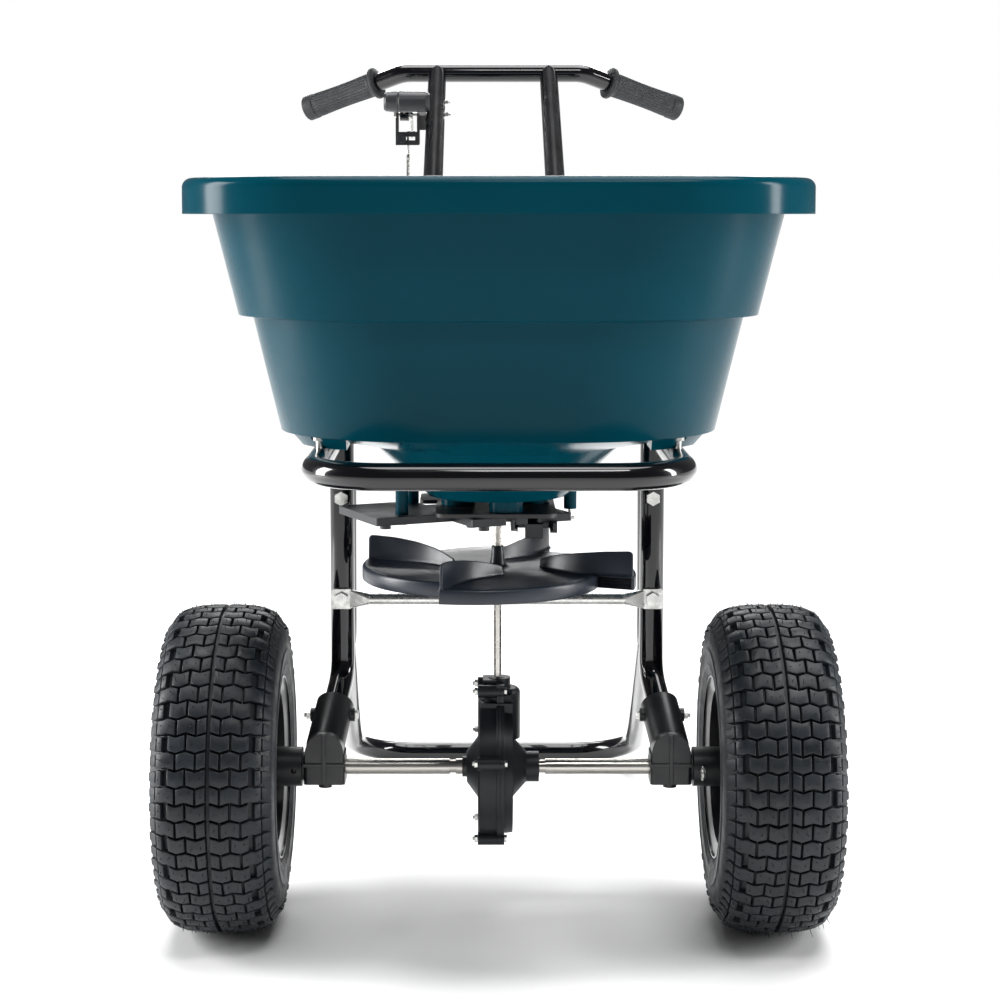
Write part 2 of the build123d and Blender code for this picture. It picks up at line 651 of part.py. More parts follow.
# ---------------------------------------------------------------- port plate and gates
def plate_block(v0, u0, v1, u1, z0, z1):
    """A box whose plan is turned with the port plate."""
    return Rot(0, 0, PLATE_TURN) * block((v0, u0, z0), (v1, u1, z1), 2.0)


def make_port_plate():
    low, high = PLATE_TOP_Z - PLATE_THICK, PLATE_TOP_Z
    body = plate_block(-131, 2, -48, 106, low, high)
    body = body + plate_block(-49, -46, 12, 72, low, high)
    body = body + plate_block(11, -20, 25, 72, low, high)
    body = body + plate_block(24, -43, 62, 72, low, high)
    for x, y in ((-112, -34), (-26, -24), (-14, -46)):
        body = body + rod((x, y, low - 5), (x, y, low + 1), 5.5)
    x, y = PORTS[2]
    for side in (-1, 1):
        body = body + block((x + side * 21 - 2, y - 66, low - 7), (x + side * 21 + 2, y + 24, low + 1))
        middle = x + side * 19.5
        body = body + block((middle - 3.5, y - 66, low - 9), (middle + 3.5, y + 24, low - 6.6))
    for x, y in PORTS:
        body = body - rod((x, y, 400), (x, y, 440), PORT_R)
    for x, y in PLATE_BOSSES:
        body = drilled(body, (x, y, low), (0, 0, 1), 2.0)
    return body - rod((0, 0, 400), (0, 0, 440), SHAFT_BUSH_R + 0.02)


def make_gate():
    """Shut-off plate between the hopper's outlets and the port plate."""
    body = block((-62, -56, GATE_BOTTOM), (58, 74, GATE_TOP), 12)
    body = body + block((-80, 50, GATE_BOTTOM), (-50, 104, GATE_TOP), 6)
    for x, y in PORTS:
        body = body - rod((x, y + GATE_TRAVEL, 420), (x, y + GATE_TRAVEL, 440), PORT_R)
    body = body - turned_slot(0, GATE_TRAVEL / 2, 420, 440, 8.0, GATE_TRAVEL / 2)
    body = body - rod((ROD_FOOT[0], ROD_FOOT[1], 420), (ROD_FOOT[0], ROD_FOOT[1], 440), 2.2)
    for x, y in PLATE_BOSSES:
        body = body - turned_slot(x, y + GATE_TRAVEL / 2, 420, 440, 7.5, GATE_TRAVEL / 2)
    return body


ROD_FOOT = (-70.0, 96.0)


def make_pattern_slide():
    x, y = PORTS[2]
    low = PLATE_TOP_Z - PLATE_THICK - 6.2
    body = block((x - 17.5, y - 50, low), (x + 17.5, y + 18, low + 5.4), 3)
    body = body - rod((x, y, 400), (x, y, 440), PORT_R)
    tab = block((x - 9, y - 62, low), (x + 9, y - 49, low + 5.4))
    return body + tab + block((x - 9, y - 62, low - 9), (x + 9, y - 58.5, low + 1))


def make_shaft_bushes():
    bottom = PLATE_TOP_Z - PLATE_THICK - 3
    guide = tube((0, 0, bottom), (0, 0, PLATE_TOP_Z), SHAFT_BUSH_R, SHAFT_R + RUN_CLEAR)
    top = tube((0, 0, 238.2), (0, 0, 258.5), SHAFT_BUSH_R, SHAFT_R + RUN_CLEAR)
    foot = tube((0, 0, 181.2), (0, 0, 197.5), SHAFT_BUSH_R, SHAFT_R + RUN_CLEAR)
    return [guide, top, foot]


def plate_screw_set():
    screws = []
    for x, y in PLATE_BOSSES:
        low = PLATE_TOP_Z - PLATE_THICK
        screws.append(rod((x, y, low), (x, y, low + 20), 2.0)
                      + Pos(x, y, low - 3) * hexagon(8, 3.0))
    return screws


# ---------------------------------------------------------------- control lever, rod and gauge
LEVER_X = -122.5
CRANK_X = -112.5


def lever_point(reach, degrees):
    """A point at reach from the lever's pivot, with the angle from +Y towards +Z."""
    return (lever_pivot_y() + reach * cos(radians(degrees)), LEVER_PIVOT_Z + reach * sin(radians(degrees)))


KNOB_TURN = 157.3
KNOB_REACH = 40.0
CRANK_TURN = -60.0


def make_lever():
    """Black bar from the pivot boss to the knob."""
    y, z = lever_point(KNOB_REACH - 14.0, KNOB_TURN)
    bar = rod((LEVER_X, lever_pivot_y(), LEVER_PIVOT_Z), (LEVER_X, y, z), 4.2)
    boss = rod((LEVER_X - 6, lever_pivot_y(), LEVER_PIVOT_Z),
               (LEVER_X + 6, lever_pivot_y(), LEVER_PIVOT_Z), 9.0)
    body = bar + boss
    pivot = (lever_pivot_y(), LEVER_PIVOT_Z)
    return body - rod((-150, *pivot), (-90, *pivot), 3.0 + RUN_CLEAR)


def make_knob():
    y, z = lever_point(KNOB_REACH, KNOB_TURN)
    outline = [(-149, 0), (-149, 11.0), (-146, 13.0), (-131, 14.5), (-129.5, 13.4), (-128, 14.5),
               (-92, 13.6), (-88.5, 12.2), (-87, 10.5), (-87, 0)]
    knob = Pos(0, y, z) * revolve(make_face(Polyline(*[(x, 0, r) for x, r in outline], close=True)), Axis.X)
    y0, z0 = lever_point(KNOB_REACH - 14.0, KNOB_TURN)
    return knob - rod((LEVER_X, lever_pivot_y(), LEVER_PIVOT_Z), (LEVER_X, y0, z0), 4.22)


def make_crank():
    """Zinc strip below the pivot, slotted for the end of the control rod."""
    x0, x1 = CRANK_X - 1.5, CRANK_X + 1.5
    y, z = lever_point(CRANK_LENGTH + 7.0, CRANK_TURN)
    middle = (lever_pivot_y(), LEVER_PIVOT_Z)
    strip = block((x0, -5.5, -CRANK_LENGTH - 7), (x1, 5.5, 0))
    strip = strip + rod((x0, 0, 0), (x1, 0, 0), 9.0)
    slot = block((x0 - 1, -2.75, -CRANK_LENGTH - 2.6), (x1 + 1, 2.75, -CRANK_LENGTH + 6.4))
    strip = strip - slot - rod((x0 - 1, 0, 0), (x1 + 1, 0, 0), 3.0 + RUN_CLEAR)
    strip = Pos(0, *middle) * Rot(CRANK_TURN + 90, 0, 0) * strip
    bridge = tube((LEVER_X + 6.1, *middle), (x0 + 0.5, *middle), 7.0, 3.0 + RUN_CLEAR)
    return strip + bridge


def make_gauge_bracket():
    """Channel on the left of the upright, with the numbered front plate and its slot."""
    y, z = lever_pivot_y(), LEVER_PIVOT_Z
    inner = block((-104.5, -30, -12), (-101.5, 30, 12))
    inner = Pos(0, y, z) * Rot(UPRIGHT_SLOPE, 0, 0) * inner
    pad = block((-101.5, -26, -11), (-UPRIGHT_X - TUBE_R - 0.2, 44, 11))
    pad = Pos(0, y, z) * Rot(UPRIGHT_SLOPE, 0, 0) * pad
    arm = block((-104.5, y - 31, 823), (-101.5, y + 8, z))
    outer = block((-133.5, y - 31, 823), (-130.5, y + 8, z - 6)) + rod((-133.5, y, z), (-130.5, y, z), 9.0)
    front = block((-133.5, y - 31, 821), (-101.5, y - 28, 839))
    channel = inner + pad + arm + outer + front
    bore = rod((-150, y, z), (-90, y, z), 3.15)
    lever_room = block((-130.5, y - 27.9, 800), (-104.5, y + 40, 900))
    slot = block((-129, y - 33, 827.6), (-107, y - 20, 832.4))
    screw_y = y - BRACKET_SCREW_BACK
    hole = rod((-150, screw_y, upright_z(screw_y)), (-90, screw_y, upright_z(screw_y)), 2.65)
    upright = rod((-UPRIGHT_X, 500, upright_z(500)), (-UPRIGHT_X, CROSSBAR_Y, CROSSBAR_Z), TUBE_R + 0.05)
    return channel - lever_room - bore - slot - hole - upright


def pivot_bolt():
    y, z = lever_pivot_y(), LEVER_PIVOT_Z
    head = Plane(origin=(-133.6, y, z), z_dir=(1, 0, 0)).location
    grip = 133.6 - UPRIGHT_X + TUBE_R + 0.2
    bolt = head * (Pos(0, 0, -3.6) * hexagon(10, 3.6) + Cylinder(3.0, grip + 8, align=BOTTOM))
    nut = head * Pos(0, 0, grip) * (hexagon(10, 5) - Cylinder(3.02, 30))
    return [bolt, nut]


def bracket_screw():
    y = lever_pivot_y() - BRACKET_SCREW_BACK
    return fastener((-101.6 - 0.1, y, upright_z(y)), (1, 0, 0), 101.7 - UPRIGHT_X + TUBE_R + 0.2, 2.5)


def make_rate_stop():
    """Thumb nut and clamp screw that stop the lever at a setting on the gauge."""
    y = lever_pivot_y() - 31.0
    x = STOP_X
    screw = rod((x, y - 7.5, 830), (x, y + 6.5, 830), 2.2)
    washer = rod((x, y - 1.6, 830), (x, y - 0.1, 830), 5.2)
    knob = rod((x, y - 7.5, 830), (x, y - 1.5, 830), 6.0)
    nut = rod((x, y + 3.1, 830), (x, y + 5.6, 830), 4.6)
    return screw + washer + knob + nut


STOP_X = -125.0
ROD_R = 2.0


def make_control_rod():
    """Bent wire from the crank, under the rear tube, to the shut-off plate."""
    y, z = lever_point(CRANK_LENGTH, CRANK_TURN)
    foot = (ROD_FOOT[0], ROD_FOOT[1], GATE_BOTTOM + 0.6)
    points = [(-108.0, y, z), (-119.0, y, z), (-118.0, y - 3, z - 36), (-100.0, 262.0, 494.0),
              (ROD_FOOT[0], ROD_FOOT[1], GATE_TOP + 9.0), foot]
    return swept(points, [3.0, 20.0, 60.0, 4.0], ROD_R)


# ---------------------------------------------------------------- grips
def make_grip():
    outline = [(0, 12.8), (0, 22.0), (1.5, 23.0), (5.5, 23.0), (7.5, 20.5), (10.0, 17.4), (104.0, 16.2),
               (106.0, 18.2), (118.0, 18.2), (GRIP_LENGTH, 16.0), (GRIP_LENGTH, 0),
               (GRIP_LENGTH - 5.5, 0), (GRIP_LENGTH - 5.5, 12.8)]
    profile = make_face(Polyline(*[(r, 0, along) for along, r in outline], close=True))
    body = revolve(profile, Axis.Z)
    return Plane(origin=tuple(GRIP_START), z_dir=tuple(GRIP_WAY)).location * body


# ---------------------------------------------------------------- groups of fasteners
def leg_bolt_set(z):
    start = LEG_Y - TUBE_R - (4.5 if z == BRACE_Z else 0.1)
    grip = LEG_Y + 3 * TUBE_R + 0.4 - start
    bolts = []
    for x in (-LEG_X, LEG_X):
        bolts.extend(fastener((x, start, z), (0, 1, 0), grip, 4.0))
    return bolts


def hopper_bolt_set():
    bolts = []
    for x in (-HOPPER_LUG[0], HOPPER_LUG[0]):
        for y in (-HOPPER_LUG[1], HOPPER_LUG[1]):
            bolts.extend(fastener((x, y, 512.02), (0, 0, -1), 512.1 - RAIL_Z + TUBE_R, 3.0))
    return bolts


def rear_bolt_set():
    bolts = []
    rear_z = RAIL_Z + 2 * TUBE_R + 0.05
    for x in (-RAIL_HALF_W, RAIL_HALF_W):
        bolts.extend(fastener((x, REAR_TUBE_Y, rear_z + TUBE_R + 0.1), (0, 0, -1), 4 * TUBE_R + 0.4, 3.5))
    normal = Vector(*upright_normal())
    for x in (-UPRIGHT_X, UPRIGHT_X):
        start = Vector(x, REAR_TUBE_Y, rear_z) + normal * (3 * TUBE_R + 0.6)
        bolts.extend(fastener(tuple(start), tuple(normal * -1), 4 * TUBE_R + 1.0, 3.5))
    return bolts


# ---------------------------------------------------------------- assembly
def build_all():
    shapes["hopper"] = make_hopper()
    shapes["hopper_rail"] = make_rail()
    shapes["rear_cross_tube"] = make_rear_tube()
    leg = make_leg()
    bracket = make_axle_bracket()
    bush = make_axle_bush()
    grip = make_grip()
    wheel = {"tyre_": make_tyre(), "wheel_rim_": make_rim(), "wheel_hub_": make_hub(),
             "tyre_valve_": make_valve()}
    for side, name in ((-1, "left"), (1, "right")):
        for piece, shape in wheel.items():
            shapes[piece + name] = shape if side > 0 else Rot(0, 0, 180) * shape
        shapes["leg_" + name] = leg if side > 0 else mirror(leg, Plane.YZ)
        shapes["axle_bracket_" + name] = bracket if side > 0 else mirror(bracket, Plane.YZ)
        shapes["axle_bush_" + name] = bush if side > 0 else mirror(bush, Plane.YZ)
        shapes["handle_upright_" + name] = make_upright(side * UPRIGHT_X)
        shapes["handle_grip_" + name] = grip if side < 0 else mirror(grip, Plane.YZ)
        shapes["gearbox_" + name] = make_gearbox_half(side)
    shapes["stand"] = make_stand()
    shapes["cross_brace"] = make_brace()
    shapes["handlebar"] = make_handlebar()
    shapes["leg_bolts"] = group(leg_bolt_set(LEG_BOLT_Z))
    shapes["brace_bolts"] = group(leg_bolt_set(BRACE_Z))
    shapes["hopper_bolts"] = group(hopper_bolt_set())
    shapes["rear_bolts"] = group(rear_bolt_set())
    sockets = socket_screws()
    shapes["socket_screws"] = group(sockets + [mirror(s, Plane.YZ) for s in sockets])
    shapes["gearbox_screws"] = group(gearbox_screw_set())
    shapes["gearbox_bushes"] = group(make_case_bushes())
    shapes["shaft_bushes"] = group(make_shaft_bushes())
    shapes["port_plate"] = make_port_plate()
    shapes["port_plate_screws"] = group(plate_screw_set())
    shapes["gauge_bracket"] = make_gauge_bracket()
    shapes["lever_pivot_bolt"] = group(pivot_bolt())
    shapes["bracket_screw"] = group(bracket_screw())

    shapes["axle"] = make_axle()
    shapes["drive_gear"] = make_gear()
    shapes["drive_gear_pin"] = rod((GEAR_HUB_PIN_X, -13, WHEEL_R), (GEAR_HUB_PIN_X, 13, WHEEL_R), 2.0)
    shapes["drive_wheel_cotter"] = cotter(PIN_X, HUB_R + 0.4, 2.3, 5.0)
    shapes["wheel_retaining_pin"] = cotter(-323.0, AXLE_R + 0.3, 1.5, 3.0)

    shapes["agitator_shaft"] = make_shaft()
    shapes["pinion"] = make_pinion()
    shapes["pinion_pin"] = rod((-8, 0, WHEEL_R + 63.5), (8, 0, WHEEL_R + 63.5), 1.18)
    shapes["impeller"] = make_impeller()
    shapes["impeller_pin"] = rod((-11, 0, 362), (11, 0, 362), 1.58)
    shapes["agitator"] = make_agitator()

    shapes["shutoff_lever"] = make_lever()
    shapes["lever_knob"] = make_knob()
    shapes["lever_crank"] = make_crank()
    shapes["control_rod"] = make_control_rod()
    shapes["shutoff_plate"] = make_gate()
    shapes["pattern_slide"] = make_pattern_slide()
    shapes["rate_stop"] = make_rate_stop()


def export_all():
    boxes = [shape.bounding_box() for shape in shapes.values()]
    front = min(box.min.Y for box in boxes)
    back = max(box.max.Y for box in boxes)
    middle = (front + back) / 2
    print("moved along Y by %.3f" % -middle)
    for name, shape in shapes.items():
        export_step(Pos(0, -middle, 0) * shape, "parts/" + name + ".step")


build_all()
export_all()
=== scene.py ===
"""Looks of a walk-behind rotary spreader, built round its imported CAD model.

Metres, in the CAD model's frame: +Z up, the front of the machine towards -Y.
Lengths written in millimetres are turned into metres with MM.
"""

import math
import random

import bmesh
import bpy
import numpy as np
from mathutils import Matrix, Vector


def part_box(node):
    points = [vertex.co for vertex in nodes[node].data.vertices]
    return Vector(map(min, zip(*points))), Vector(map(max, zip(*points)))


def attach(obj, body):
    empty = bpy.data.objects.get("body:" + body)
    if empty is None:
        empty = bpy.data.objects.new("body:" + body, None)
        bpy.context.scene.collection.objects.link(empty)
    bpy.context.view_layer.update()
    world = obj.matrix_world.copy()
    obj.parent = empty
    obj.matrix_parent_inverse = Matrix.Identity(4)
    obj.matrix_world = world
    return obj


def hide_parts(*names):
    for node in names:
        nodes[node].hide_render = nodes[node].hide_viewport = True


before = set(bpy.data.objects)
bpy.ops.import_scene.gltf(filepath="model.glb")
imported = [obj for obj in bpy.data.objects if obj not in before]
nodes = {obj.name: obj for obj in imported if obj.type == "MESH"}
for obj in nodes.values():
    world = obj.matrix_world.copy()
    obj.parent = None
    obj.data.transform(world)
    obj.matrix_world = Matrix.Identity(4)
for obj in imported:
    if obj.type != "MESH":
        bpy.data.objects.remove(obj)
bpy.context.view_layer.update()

MM = 0.001
random.seed(7)


def middle_of(node):
    low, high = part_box(node)
    return (low + high) / 2


AXLE = middle_of("axle")
AXLE_Y, AXLE_Z = AXLE.y, AXLE.z


# ------------------------------------------------------------------ camera
FOCAL = 2.12076            # focal length as a share of the picture's width
CAMERA_BACK = 2.1261       # distance in front of the axle
CAMERA_Z = 0.7264
CAMERA_X = -0.0166
CAMERA_PITCH = 4.9945      # degrees below level

lens = bpy.data.cameras.new("camera")
lens.sensor_width = 36.0
lens.lens = FOCAL * 36.0
lens.shift_y = -0.1
lens.shift_x = 0.0187
lens.clip_start, lens.clip_end = 0.05, 100
camera = bpy.data.objects.new("camera", lens)
camera.location = (CAMERA_X, AXLE_Y - CAMERA_BACK, CAMERA_Z)
camera.rotation_euler = (math.radians(90 - CAMERA_PITCH), 0, 0)
bpy.context.scene.collection.objects.link(camera)
bpy.context.scene.camera = camera
bpy.context.scene.view_settings.view_transform = "Standard"


# ------------------------------------------------------------------ materials
def socket(shader, name, value):
    shader.inputs[name].default_value = value


def look(name, colour, rough, metal=0.0, coat=0.0, coat_rough=0.03, specular=0.5,
         mottle=0.06, mottle_scale=9.0, rough_spread=0.05, rough_scale=30.0,
         bumps=(), stretch=(1, 1, 1), edge=0.0, wear=None, dust=None):
    """A node material: mottled colour, uneven roughness and a stack of bumps.

    bumps holds (scale, height in mm, detail); edge is the radius in mm of the rounding
    in the shader; wear and dust are a patchy second colour, as (colour, scale, share).
    """
    material = bpy.data.materials.new(name)
    material.use_nodes = True
    tree = material.node_tree
    shader = tree.nodes["Principled BSDF"]
    socket(shader, "Metallic", metal)
    socket(shader, "Coat Weight", coat)
    socket(shader, "Coat Roughness", coat_rough)
    socket(shader, "Specular IOR Level", specular)
    place = tree.nodes.new("ShaderNodeTexCoord")
    mapping = tree.nodes.new("ShaderNodeMapping")
    mapping.inputs["Scale"].default_value = stretch
    tree.links.new(place.outputs["Object"], mapping.inputs["Vector"])

    def noise(scale, detail=3.0, roughness=0.55):
        node = tree.nodes.new("ShaderNodeTexNoise")
        node.inputs["Scale"].default_value = scale
        node.inputs["Detail"].default_value = detail
        node.inputs["Roughness"].default_value = roughness
        tree.links.new(mapping.outputs["Vector"], node.inputs["Vector"])
        return node.outputs["Fac"]

    def ranged(value, low, high, to_low, to_high):
        node = tree.nodes.new("ShaderNodeMapRange")
        limits = {"From Min": low, "From Max": high, "To Min": to_low, "To Max": to_high}
        for key, number in limits.items():
            node.inputs[key].default_value = number
        tree.links.new(value, node.inputs["Value"])
        return node.outputs["Result"]

    def mixed(share, first, second):
        node = tree.nodes.new("ShaderNodeMix")
        node.data_type = "RGBA"
        for key, item in ((6, first), (7, second)):
            if isinstance(item, tuple):
                node.inputs[key].default_value = (*item, 1)
            else:
                tree.links.new(item, node.inputs[key])
        tree.links.new(share, node.inputs[0])
        return node.outputs[2]

    dark = tuple(c * (1 - mottle) for c in colour)
    light = tuple(min(1.0, c * (1 + mottle)) for c in colour)
    tint = mixed(ranged(noise(mottle_scale), 0.3, 0.7, 0, 1), dark, light)
    for layer in (wear, dust):
        if layer:
            shade, scale, share = layer
            limit = 1 - share
            patches = ranged(noise(scale, 6.0, 0.7), limit - 0.12, limit + 0.12, 0, 1)
            tint = mixed(patches, tint, shade)
    tree.links.new(tint, shader.inputs["Base Color"])
    spread = ranged(noise(rough_scale, 4.0), 0.3, 0.7,
                    max(rough - rough_spread, 0.02), rough + rough_spread)
    tree.links.new(spread, shader.inputs["Roughness"])
    normal = None
    if edge:
        bevel = tree.nodes.new("ShaderNodeBevel")
        bevel.samples = 4
        bevel.inputs["Radius"].default_value = edge * MM
        normal = bevel.outputs["Normal"]
    for scale, distance, detail in bumps:
        bump = tree.nodes.new("ShaderNodeBump")
        bump.inputs["Strength"].default_value = 1.0
        bump.inputs["Distance"].default_value = distance * MM
        tree.links.new(noise(scale, detail), bump.inputs["Height"])
        if normal is not None:
            tree.links.new(normal, bump.inputs["Normal"])
        normal = bump.outputs["Normal"]
    if normal is not None:
        tree.links.new(normal, shader.inputs["Normal"])
    return material


LOOKS = {
    "hopper_plastic": look("teal_plastic", (0.0003, 0.044, 0.066), 0.17, specular=0.08,
                           mottle=0.05, mottle_scale=4, rough_spread=0.03, rough_scale=14,
                           edge=1.2, bumps=((900, 0.02, 2.0), (14, 0.35, 2.0))),
    "frame_paint": look("black_gloss_paint", (0.0012, 0.0012, 0.0025), 0.22, coat=1.0,
                        coat_rough=0.03, specular=0.1, mottle=0.3, mottle_scale=20, edge=0.5,
                        bumps=((420, 0.012, 2.0), (60, 0.03, 1.0))),
    "zinc": look("bright_zinc", (0.62, 0.62, 0.60), 0.30, metal=1.0, mottle=0.12, mottle_scale=70,
                 rough_spread=0.12, rough_scale=160, edge=0.3, bumps=((700, 0.01, 3.0),),
                 wear=((0.38, 0.36, 0.30), 55, 0.30)),
    "axle_steel": look("drawn_steel", (0.50, 0.48, 0.45), 0.27, metal=1.0, mottle=0.14,
                       mottle_scale=60, rough_spread=0.12, rough_scale=120,
                       stretch=(0.06, 1, 1), edge=0.3,
                       bumps=((520, 0.02, 3.0),), wear=((0.25, 0.21, 0.17), 40, 0.30)),
    "rod_steel": look("rod_steel", (0.55, 0.54, 0.52), 0.28, metal=1.0, mottle=0.10,
                      mottle_scale=90, rough_spread=0.1, rough_scale=150,
                      bumps=((600, 0.01, 2.0),)),
    "bracket_plastic": look("bracket_plastic", (0.012, 0.013, 0.015), 0.38, mottle=0.25, edge=1.0,
                            rough_spread=0.08, bumps=((900, 0.03, 2.0), (40, 0.08, 2.0))),
    "bush_plastic": look("bush_plastic", (0.03, 0.03, 0.032), 0.4, mottle=0.2, edge=0.4,
                         bumps=((900, 0.02, 2.0),)),
    "grip_rubber": look("grip_rubber", (0.012, 0.014, 0.016), 0.55, specular=0.4, mottle=0.25,
                        mottle_scale=60, rough_spread=0.1, rough_scale=80,
                        bumps=((1400, 0.05, 2.0), (200, 0.04, 2.0)),
                        dust=((0.06, 0.06, 0.06), 120, 0.22)),
    "tyre_rubber": look("tyre_rubber", (0.007, 0.010, 0.014), 0.50, specular=0.4, mottle=0.3,
                        mottle_scale=30, rough_spread=0.12, rough_scale=60,
                        bumps=((1100, 0.06, 3.0), (160, 0.10, 3.0)),
                        dust=((0.032, 0.036, 0.040), 45, 0.32)),
    "rim_paint": look("rim_paint", (0.008, 0.008, 0.010), 0.33, coat=0.4, coat_rough=0.12,
                      mottle=0.2, edge=0.6, bumps=((500, 0.02, 2.0),),
                      dust=((0.03, 0.03, 0.032), 60, 0.25)),
    "hub_plastic": look("hub_plastic", (0.010, 0.011, 0.013), 0.42, mottle=0.2, edge=0.8,
                        bumps=((900, 0.03, 2.0), (50, 0.06, 2.0))),
    "valve_rubber": look("valve_rubber", (0.01, 0.01, 0.011), 0.55, mottle=0.2, edge=0.4,
                         bumps=((900, 0.04, 2.0),)),
    "gearbox_plastic": look("gearbox_plastic", (0.009, 0.011, 0.014), 0.42, specular=0.35,
                            mottle=0.22, edge=1.2, rough_spread=0.08,
                            bumps=((700, 0.05, 2.0), (30, 0.10, 2.0)),
                            dust=((0.035, 0.037, 0.04), 50, 0.25)),
    "plate_plastic": look("plate_plastic", (0.010, 0.012, 0.016), 0.34, mottle=0.2, edge=0.9,
                          bumps=((900, 0.03, 2.0), (40, 0.08, 2.0))),
    "gate_plastic": look("gate_plastic", (0.02, 0.02, 0.022), 0.4, mottle=0.2, edge=0.5,
                         bumps=((900, 0.03, 2.0),)),
    "gauge_plastic": look("gauge_plastic", (0.014, 0.014, 0.016), 0.4, mottle=0.2, edge=0.7,
                          bumps=((900, 0.03, 2.0),)),
    "gear_nylon": look("gear_nylon", (0.55, 0.53, 0.46), 0.45, mottle=0.05, edge=0.3,
                       bumps=((900, 0.02, 2.0),), dust=((0.10, 0.09, 0.07), 60, 0.3)),
    "impeller_plastic": look("impeller_plastic", (0.011, 0.016, 0.026), 0.36, mottle=0.2, edge=1.2,
                             rough_spread=0.07, bumps=((900, 0.03, 2.0), (30, 0.12, 2.0)),
                             dust=((0.03, 0.035, 0.045), 40, 0.22)),
    "knob_plastic": look("knob_plastic", (0.014, 0.015, 0.018), 0.38, mottle=0.2, edge=0.9,
                         bumps=((900, 0.03, 2.0), (60, 0.05, 2.0))),
}


def paint(piece, slot):
    """Give a new piece the finish of one of the record's slots."""
    piece.data.materials.clear()
    piece.data.materials.append(LOOKS[slot])


for node in nodes.values():
    for place in node.material_slots:
        place.material = LOOKS[place.material.name]


# ------------------------------------------------------------------ mesh helpers
def new_piece(name, vertices, faces, body, slot, replaced=(), smooth=40.0):
    """A mesh in metres that rides on a body, with edges sharper than smooth degrees kept."""
    mesh = bpy.data.meshes.new(name)
    mesh.from_pydata([tuple(v) for v in vertices], [], [tuple(f) for f in faces])
    mesh.validate()
    piece = bpy.data.objects.new(name, mesh)
    bpy.context.scene.collection.objects.link(piece)
    paint(piece, slot)
    edit = bmesh.new()
    edit.from_mesh(mesh)
    bmesh.ops.recalc_face_normals(edit, faces=edit.faces)
    edit.to_mesh(mesh)
    edit.free()
    mesh.shade_smooth()
    mesh.set_sharp_from_angle(angle=math.radians(smooth))
    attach(piece, body)
    if replaced:
        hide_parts(*replaced)
    return piece


def loops_to_faces(loops, count, first=0):
    """Quads between neighbouring rings of count vertices each, from vertex first on."""
    faces = []
    for ring in range(loops - 1):
        for k in range(count):
            a = first + ring * count + k
            b = first + ring * count + (k + 1) % count
            faces.append((a, b, b + count, a + count))
    return faces


def smooth_line(points, steps):
    """Catmull-Rom line through points, as an array, steps to each gap."""
    pts = np.array(points, float)
    pts = np.vstack([2 * pts[0] - pts[1], pts, 2 * pts[-1] - pts[-2]])
    out = []
    for i in range(1, len(pts) - 2):
        p0, p1, p2, p3 = pts[i - 1:i + 3]
        for k in range(steps):
            t = k / steps
            out.append(0.5 * (2 * p1 + (p2 - p0) * t + (2 * p0 - 5 * p1 + 4 * p2 - p3) * t * t
                              + (3 * p1 - p0 - 3 * p2 + p3) * t ** 3))
    out.append(pts[-2])
    return np.array(out)


# ------------------------------------------------------------------ tyres
TYRE_RADIUS = 165.0
TREAD_PAIRS = 31           # pairs of block rows round the tyre
TREAD_DEPTH = 5.6
TREAD_EDGE = 72            # along the outline, where the grooves have run out
OUTLINE = smooth_line([(0, TYRE_RADIUS), (17, 164.6), (34, 162.5), (47, 157.5), (54, 148.0),
                       (58.5, 132.0), (60.0, 112.0)], 10)
ALONG = np.concatenate([[0], np.cumsum(np.linalg.norm(np.diff(OUTLINE, axis=0), axis=1))])


def on_outline(v, height):
    """Point (x, radius) at v along the outline from the tread's middle.

    The height is measured from the floor of the grooves.
    """
    side = -1 if v < 0 else 1
    v = abs(v)
    x, r = (np.interp(v, ALONG, OUTLINE[:, i]) for i in (0, 1))
    near = [v + 1, v - 1]
    xs, radii = np.interp(near, ALONG, OUTLINE[:, 0]), np.interp(near, ALONG, OUTLINE[:, 1])
    way = np.array([xs[0] - xs[1], radii[0] - radii[1]])
    way = way / np.linalg.norm(way)
    outward = np.array([-way[1], way[0]])
    drop = TREAD_DEPTH * min(1.0, max(0.0, (TREAD_EDGE - v) / 12)) - height
    return side * (x - outward[0] * drop), r - outward[1] * drop


# Every row of blocks lies between two zigzag lines, ZIGZAG high, whose peaks are BLOCK_WIDTH
# apart across the tread. Odd rows are cut at the peaks and even rows at the valleys.
BLOCK_WIDTH = 19.4
ZIGZAG = 3.0
FIRST_BLOCK = 2.0          # from the tyre's middle plane
BLOCK_RINGS = ((0.55, -0.4), (0.0, TREAD_DEPTH * 0.8), (-0.30, TREAD_DEPTH - 0.25),
               (-0.95, TREAD_DEPTH))     # (growth, height) from foot to top
ROWS = (((2.0, 20.3), (22.3, 39.0), (45.5, 52.5), (54.0, 66.0)),
        ((2.0, 10.6), (12.7, 30.2), (32.4, 53.0), (54.6, 65.0)))


def zigzag(v):
    """Height of the row boundary at v across the tread."""
    phase = ((v - FIRST_BLOCK) / BLOCK_WIDTH) % 1.0
    return ZIGZAG * (1 - abs(2 * phase - 1)) if v < 50 else ZIGZAG * 0.3


def columns_of(start, end):
    """Places across the tread where a block between start and end has its corners."""
    marks = [FIRST_BLOCK + BLOCK_WIDTH / 2 * k for k in range(7)]
    inner = [m for m in marks if start + 1.5 < m < end - 1.5]
    stations = [start] + inner + [end]
    full = []
    for low, high in zip(stations, stations[1:]):
        parts = max(1, round((high - low) / 5.0))
        full.extend(low + (high - low) * k / parts for k in range(parts))
    return full + [end]


